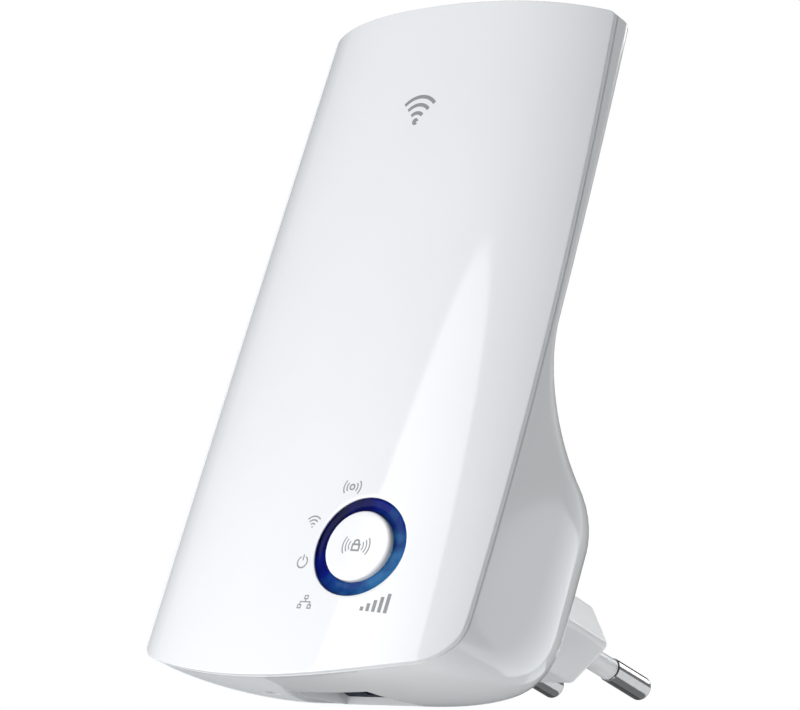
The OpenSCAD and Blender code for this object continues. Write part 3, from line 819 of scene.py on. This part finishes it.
def ring_painted_light(material):
    """Lens with painted light: navy at its upper left, turning to sky blue where light falls at
    its lower right.
    """
    nodes, links = material.node_tree.nodes, material.node_tree.links
    place = nodes.new("ShaderNodeTexCoord")
    # Painted light: place along the direction towards the lower right, where the lens is painted
    # lighter
    slope = nodes.new("ShaderNodeVectorMath")
    slope.operation = "DOT_PRODUCT"
    slope.inputs[1].default_value = RING_PAINTED_LIGHT_DIR
    links.new(place.outputs["Object"], slope.inputs[0])
    middle = (RING_X * RING_PAINTED_LIGHT_DIR[0] + RING_Z * RING_PAINTED_LIGHT_DIR[2]) / 1000
    reach = nodes.new("ShaderNodeMapRange")
    reach.inputs["From Min"].default_value = middle - RING_REACH
    reach.inputs["From Max"].default_value = middle + RING_REACH
    links.new(slope.outputs["Value"], reach.inputs["Value"])
    blotch = nodes.new("ShaderNodeTexNoise")
    blotch.inputs["Scale"].default_value = RING_BLOTCH
    blotch.inputs["Detail"].default_value = 2
    links.new(place.outputs["Object"], blotch.inputs["Vector"])
    spread = nodes.new("ShaderNodeMapRange")
    spread.inputs["From Min"].default_value = 0.3
    spread.inputs["From Max"].default_value = 0.7
    spread.inputs["To Min"].default_value = -RING_UNEVEN
    spread.inputs["To Max"].default_value = RING_UNEVEN
    links.new(blotch.outputs["Fac"], spread.inputs["Value"])
    total = nodes.new("ShaderNodeMath")
    total.operation = "ADD"
    links.new(reach.outputs["Result"], total.inputs[0])
    links.new(spread.outputs["Result"], total.inputs[1])
    ramp = nodes.new("ShaderNodeValToRGB")
    for k, (at, color) in enumerate(RING_PAINTED_LIGHT_STOPS):
        stop = ramp.color_ramp.elements[k] if k < 2 else ramp.color_ramp.elements.new(at)
        stop.position = at
        stop.color = [*color, 1]
    links.new(total.outputs["Value"], ramp.inputs["Fac"])
    links.new(ramp.outputs["Color"], nodes["Principled BSDF"].inputs["Base Color"])


MATERIALS = {
    "gloss_white": dict(color=(0.80, 0.81, 0.83), roughness=0.05, vary=0.008, scale=60,
                        bump=0.015, bump_scale=2500, spread=0.01),
    "housing_white": dict(color=(0.79, 0.795, 0.80), roughness=0.06, vary=0.01, scale=60,
                          bump=0.015, bump_scale=2500, spread=0.01),
    "button_white": dict(color=(0.84, 0.845, 0.86), roughness=0.12, vary=0.008, scale=120,
                         bump=0.04, bump_scale=2500, spread=0.02),
    "plug_white": dict(color=(0.80, 0.805, 0.81), roughness=0.3, vary=0.015, scale=200,
                       bump=0.2, bump_scale=3500, spread=0.05),
    "sleeve_white": dict(color=(0.78, 0.78, 0.78), roughness=0.3, vary=0.015, scale=300,
                         bump=0.15, bump_scale=3500),
    "pin_metal": dict(color=(0.34, 0.335, 0.33), roughness=0.1, metallic=1.0, vary=0.05,
                      scale=900, bump=0.15, bump_scale=5000, wear=0.3),
    # This base colour is replaced by a ramp with painted light, lighter towards the ring's lower
    # right
    "ring_blue": dict(color=(0.006, 0.02, 0.2), roughness=0.12, ior=1.17),
    "guide_clear": dict(color=(0.8, 0.9, 0.95), roughness=0.08, vary=0.03),
    "switch_body": dict(color=(0.03, 0.03, 0.033), roughness=0.45, bump=0.4, wear=0.3),
    "switch_stem": dict(color=(0.12, 0.05, 0.03), roughness=0.4, bump=0.2),
    "stem_black": dict(color=(0.02, 0.02, 0.02), roughness=0.4, bump=0.2),
    "board_green": dict(color=(0.01, 0.11, 0.04), roughness=0.3, vary=0.25, scale=900, coat=0.5),
    "power_board_tan": dict(color=(0.42, 0.27, 0.1), roughness=0.45, vary=0.15, scale=1500),
    "tin": dict(color=(0.6, 0.6, 0.6), roughness=0.3, metallic=1.0, vary=0.1, scale=700,
                bump=0.3, wear=0.4),
    "screw_steel": dict(color=(0.5, 0.5, 0.5), roughness=0.25, metallic=1.0, vary=0.08,
                        bump=0.3, wear=0.4),
    "chip_black": dict(color=(0.018, 0.018, 0.02), roughness=0.5, bump=0.5, wear=0.2),
    "pad_grey": dict(color=(0.2, 0.28, 0.33), roughness=0.8, bump=0.6),
    "led_clear": dict(color=(0.8, 0.82, 0.7), roughness=0.15, coat=0.5),
    "jack_plastic": dict(color=(0.001, 0.008, 0.02), roughness=0.5, ior=1.2, bump=0.3),
    "gold_contact": dict(color=(0.8, 0.52, 0.16), roughness=0.22, metallic=1.0, wear=0.3),
    "spring_brass": dict(color=(0.66, 0.48, 0.17), roughness=0.3, metallic=1.0, wear=0.3),
    "ferrite": dict(color=(0.035, 0.034, 0.034), roughness=0.6, vary=0.2, bump=0.8, wear=0.3),
    "bobbin": dict(color=(0.62, 0.52, 0.34), roughness=0.45, bump=0.3),
    "winding_tape": dict(color=(0.72, 0.47, 0.03), roughness=0.3, vary=0.1, coat=0.4),
    "sheet_paper": dict(color=(0.66, 0.53, 0.3), roughness=0.75, vary=0.12, bump=0.7),
    "can_blue": dict(color=(0.015, 0.022, 0.09), roughness=0.28, coat=0.5, wear=0.3),
    "can_green": dict(color=(0.012, 0.09, 0.035), roughness=0.28, coat=0.5, wear=0.3),
    "disc_blue": dict(color=(0.02, 0.09, 0.42), roughness=0.4, coat=0.4),
    "resistor_tan": dict(color=(0.5, 0.33, 0.16), roughness=0.55, bump=0.4),
    "print_grey": dict(color=(0.26, 0.265, 0.27), roughness=0.45, vary=0.05, scale=1200),
}


# ---- Build --------------------------------------------------------------------------------

made = {key: shader(key, **values) for key, values in MATERIALS.items()}
# Painted light on the ring: its base colour gets lighter towards its lower right
ring_painted_light(made["ring_blue"])
pieces = {
    "gloss_white": [front_cover()],
    "housing_white": [rear_housing()],
    "button_white": [range_button()],
    "plug_white": [plug_block()],
    "sleeve_white": [sleeves()],
    "pin_metal": [pins()],
    "ring_blue": [light_ring()],
    "print_grey": [button_sign(), cover_signs()],
}
for key, group in pieces.items():
    for piece in group:
        paint(piece, made[key])

replaced = {"front_cover", "rear_housing", "range_button", "plug_block", "pin_sleeves",
            "contact_pins", "light_ring"}
for part in frame["record"]["subparts"]:
    if part["node"] not in replaced:
        node = frame["nodes"][part["node"]]
        paint(node, made[part["material_slot"]])
        bevel = node.modifiers.new("edges", "BEVEL")
        bevel.width = 0.00008
        bevel.segments = 2
        bevel.limit_method = "ANGLE"


# ---- Camera, floor and lights -------------------------------------------------------------

CAMERA = dict(azimuth=46.8, elevation=-19.38, roll=16.36, lens=180.5,
              place=(0.428, -0.4467, -0.1762))
# Strength of the surroundings in front and behind, where one turns into the other along Y,
# and the share that is left on the right, turning along X
WORLD = dict(front=0.33, back=1.05, turn=(-0.1, 0.4), right=0.4, turn_right=(-0.4, 0.3))
BACKDROP = (0.93, 0.965, 1)
FLOOR_Z, FLOOR_HALF, FLOOR_SEEN = -0.75, 6, (0.8, 0.81, 0.82, 1)


def towards(compass, elevation):
    """Direction at a compass angle from -Y towards +X and an elevation, in degrees."""
    compass, elevation = math.radians(compass), math.radians(elevation)
    return Vector((math.sin(compass) * math.cos(elevation),
                   -math.cos(compass) * math.cos(elevation), math.sin(elevation)))


def camera():
    """Camera below and to the right of the front, leaning to one side."""
    back = towards(CAMERA["azimuth"], CAMERA["elevation"])
    roll = math.radians(CAMERA["roll"])
    right = (-back).cross(Vector((0, 0, 1))).normalized()
    up = right.cross(-back)
    turned_right = math.cos(roll) * right + math.sin(roll) * up
    turned_up = -math.sin(roll) * right + math.cos(roll) * up
    data = bpy.data.cameras.new("camera")
    data.sensor_width = 36
    data.lens = CAMERA["lens"]
    data.clip_start = 0.01
    data.clip_end = 20
    obj = bpy.data.objects.new("camera", data)
    matrix = Matrix((turned_right, turned_up, back)).transposed().to_4x4()
    matrix.translation = Vector(CAMERA["place"])
    obj.matrix_world = matrix
    bpy.context.scene.collection.objects.link(obj)
    bpy.context.scene.camera = obj


def soft_light(name, shape, direction, distance, size, radiance, target=(0, -0.05, 0.02)):
    """Area light in a direction from a target, (compass, elevation), and facing it."""
    away = towards(*direction)
    data = bpy.data.lights.new(name, "AREA")
    data.shape = shape
    data.size, data.size_y = size
    area = size[0] * size[1] * (math.pi / 4 if shape in ("DISK", "ELLIPSE") else 1)
    data.energy = radiance * area * math.pi
    obj = bpy.data.objects.new(name, data)
    obj.location = Vector(target) + away * distance
    obj.rotation_euler = (-away).to_track_quat("-Z", "Y").to_euler()
    obj.visible_camera = False
    bpy.context.scene.collection.objects.link(obj)
    return obj


def card(name, direction, distance, sides, corner_r, glow, target=(0, 0, 0)):
    """Flat card, black or glowing, that only shows in glossy reflections.

    Its sides are (left, right, low, high) in metres from its middle as seen from behind it,
    with left and up counted positive.
    """
    away = towards(*direction)
    across = Vector((0, 0, 1)).cross(away).normalized()
    up = away.cross(across)
    middle = Vector(target) + away * distance
    left, right, low, high = sides
    outline = rounded_polygon([(left, high), (right, high), (right, low), (left, low)], corner_r)
    mesh = bpy.data.meshes.new(name)
    mesh.from_pydata([middle - across * u + up * v for u, v in outline], [],
                     [tuple(range(len(outline)))])
    obj = bpy.data.objects.new(name, mesh)
    bpy.context.scene.collection.objects.link(obj)
    material = shader(name, (0.02, 0.02, 0.022), 0.8, vary=0.05, scale=20)
    bsdf = material.node_tree.nodes["Principled BSDF"]
    bsdf.inputs["Emission Color"].default_value = [*BACKDROP, 1]
    bsdf.inputs["Emission Strength"].default_value = glow
    paint(obj, material)
    for kind in ("camera", "diffuse", "shadow", "transmission"):
        setattr(obj, "visible_" + kind, False)


def floor():
    """Plain floor far below, paler to the camera than in the light it throws back."""
    mesh = bpy.data.meshes.new("floor")
    bm = bmesh.new()
    bmesh.ops.create_grid(bm, x_segments=2, y_segments=2, size=FLOOR_HALF)
    bm.to_mesh(mesh)
    bm.free()
    obj = bpy.data.objects.new("floor", mesh)
    obj.location = (0, 0, FLOOR_Z)
    bpy.context.scene.collection.objects.link(obj)
    material = shader("floor_paint", (0.86, 0.86, 0.86), 0.7, vary=0.01, scale=4)
    nodes, links = material.node_tree.nodes, material.node_tree.links
    pale = nodes.new("ShaderNodeEmission")
    pale.inputs["Color"].default_value = FLOOR_SEEN
    ray = nodes.new("ShaderNodeLightPath")
    choose = nodes.new("ShaderNodeMixShader")
    links.new(ray.outputs["Is Camera Ray"], choose.inputs["Fac"])
    links.new(nodes["Principled BSDF"].outputs["BSDF"], choose.inputs[1])
    links.new(pale.outputs["Emission"], choose.inputs[2])
    links.new(choose.outputs["Shader"], nodes["Material Output"].inputs["Surface"])
    paint(obj, material)


def world():
    """White to the camera; for light, dim in front, bright behind and dimmer to the right."""
    scene_world = bpy.data.worlds.new("studio")
    bpy.context.scene.world = scene_world
    scene_world.use_nodes = True
    nodes, links = scene_world.node_tree.nodes, scene_world.node_tree.links
    nodes.clear()
    out = nodes.new("ShaderNodeOutputWorld")
    seen = nodes.new("ShaderNodeBackground")
    seen.inputs["Color"].default_value = (1, 1, 1, 1)
    lit = nodes.new("ShaderNodeBackground")
    lit.inputs["Color"].default_value = [*BACKDROP, 1]
    place = nodes.new("ShaderNodeTexCoord")
    split = nodes.new("ShaderNodeSeparateXYZ")
    links.new(place.outputs["Generated"], split.inputs["Vector"])
    back = nodes.new("ShaderNodeMapRange")
    back.interpolation_type = "SMOOTHSTEP"
    back.inputs["From Min"].default_value = WORLD["turn"][0]
    back.inputs["From Max"].default_value = WORLD["turn"][1]
    back.inputs["To Min"].default_value = WORLD["front"]
    back.inputs["To Max"].default_value = WORLD["back"]
    links.new(split.outputs["Y"], back.inputs["Value"])
    right = nodes.new("ShaderNodeMapRange")
    right.interpolation_type = "SMOOTHSTEP"
    right.inputs["From Min"].default_value = WORLD["turn_right"][0]
    right.inputs["From Max"].default_value = WORLD["turn_right"][1]
    right.inputs["To Min"].default_value = 1.0
    right.inputs["To Max"].default_value = WORLD["right"]
    links.new(split.outputs["X"], right.inputs["Value"])
    product = nodes.new("ShaderNodeMath")
    product.operation = "MULTIPLY"
    links.new(back.outputs["Result"], product.inputs[0])
    links.new(right.outputs["Result"], product.inputs[1])
    links.new(product.outputs["Value"], lit.inputs["Strength"])
    ray = nodes.new("ShaderNodeLightPath")
    choose = nodes.new("ShaderNodeMixShader")
    links.new(ray.outputs["Is Camera Ray"], choose.inputs["Fac"])
    links.new(lit.outputs[0], choose.inputs[1])
    links.new(seen.outputs[0], choose.inputs[2])
    links.new(choose.outputs[0], out.inputs["Surface"])


camera()
floor()
world()
# The side light never shows in a reflection, so the bright panel in the same direction shows
soft_light("key", "DISK", (-11, -8), 0.7, (0.79, 0.79), 2.7)
side = soft_light("side", "DISK", (150, -2), 0.5, (0.42, 0.42), 2.8, (0, -0.03, -0.01))
side.visible_glossy = False
soft_light("pin_strip", "RECTANGLE", (168, 44), 0.5, (0.34, 0.1), 3.8, (0, 0, 0))
soft_light("low_fill", "RECTANGLE", (0, -50), 0.22, (0.2, 0.1), 3.1)
card("side_panel", (150, 0), 0.52, (0.176, -0.3, -0.25, 0.197), 0.038, 1.75, (0, -0.03, -0.01))
# Dark and dim cards behind the object and to its left
card("card_back", (-159, 27), 0.5, (0.18, -0.18, -0.2, 0.2), 0.02, 0.0)
card("card_low", (-146, -18), 0.5, (0.14, -0.14, -0.23, 0.23), 0.02, 0.15)
card("card_side", (-95, 20), 0.5, (0.085, -0.085, -0.26, 0.3), 0.02, 0.12)
card("card_left", (-128, -18), 0.52, (0.16, -0.16, -0.24, 0.24), 0.02, 0.5)

scene = bpy.context.scene
scene.view_settings.view_transform = "Standard"
scene.view_settings.look = "None"
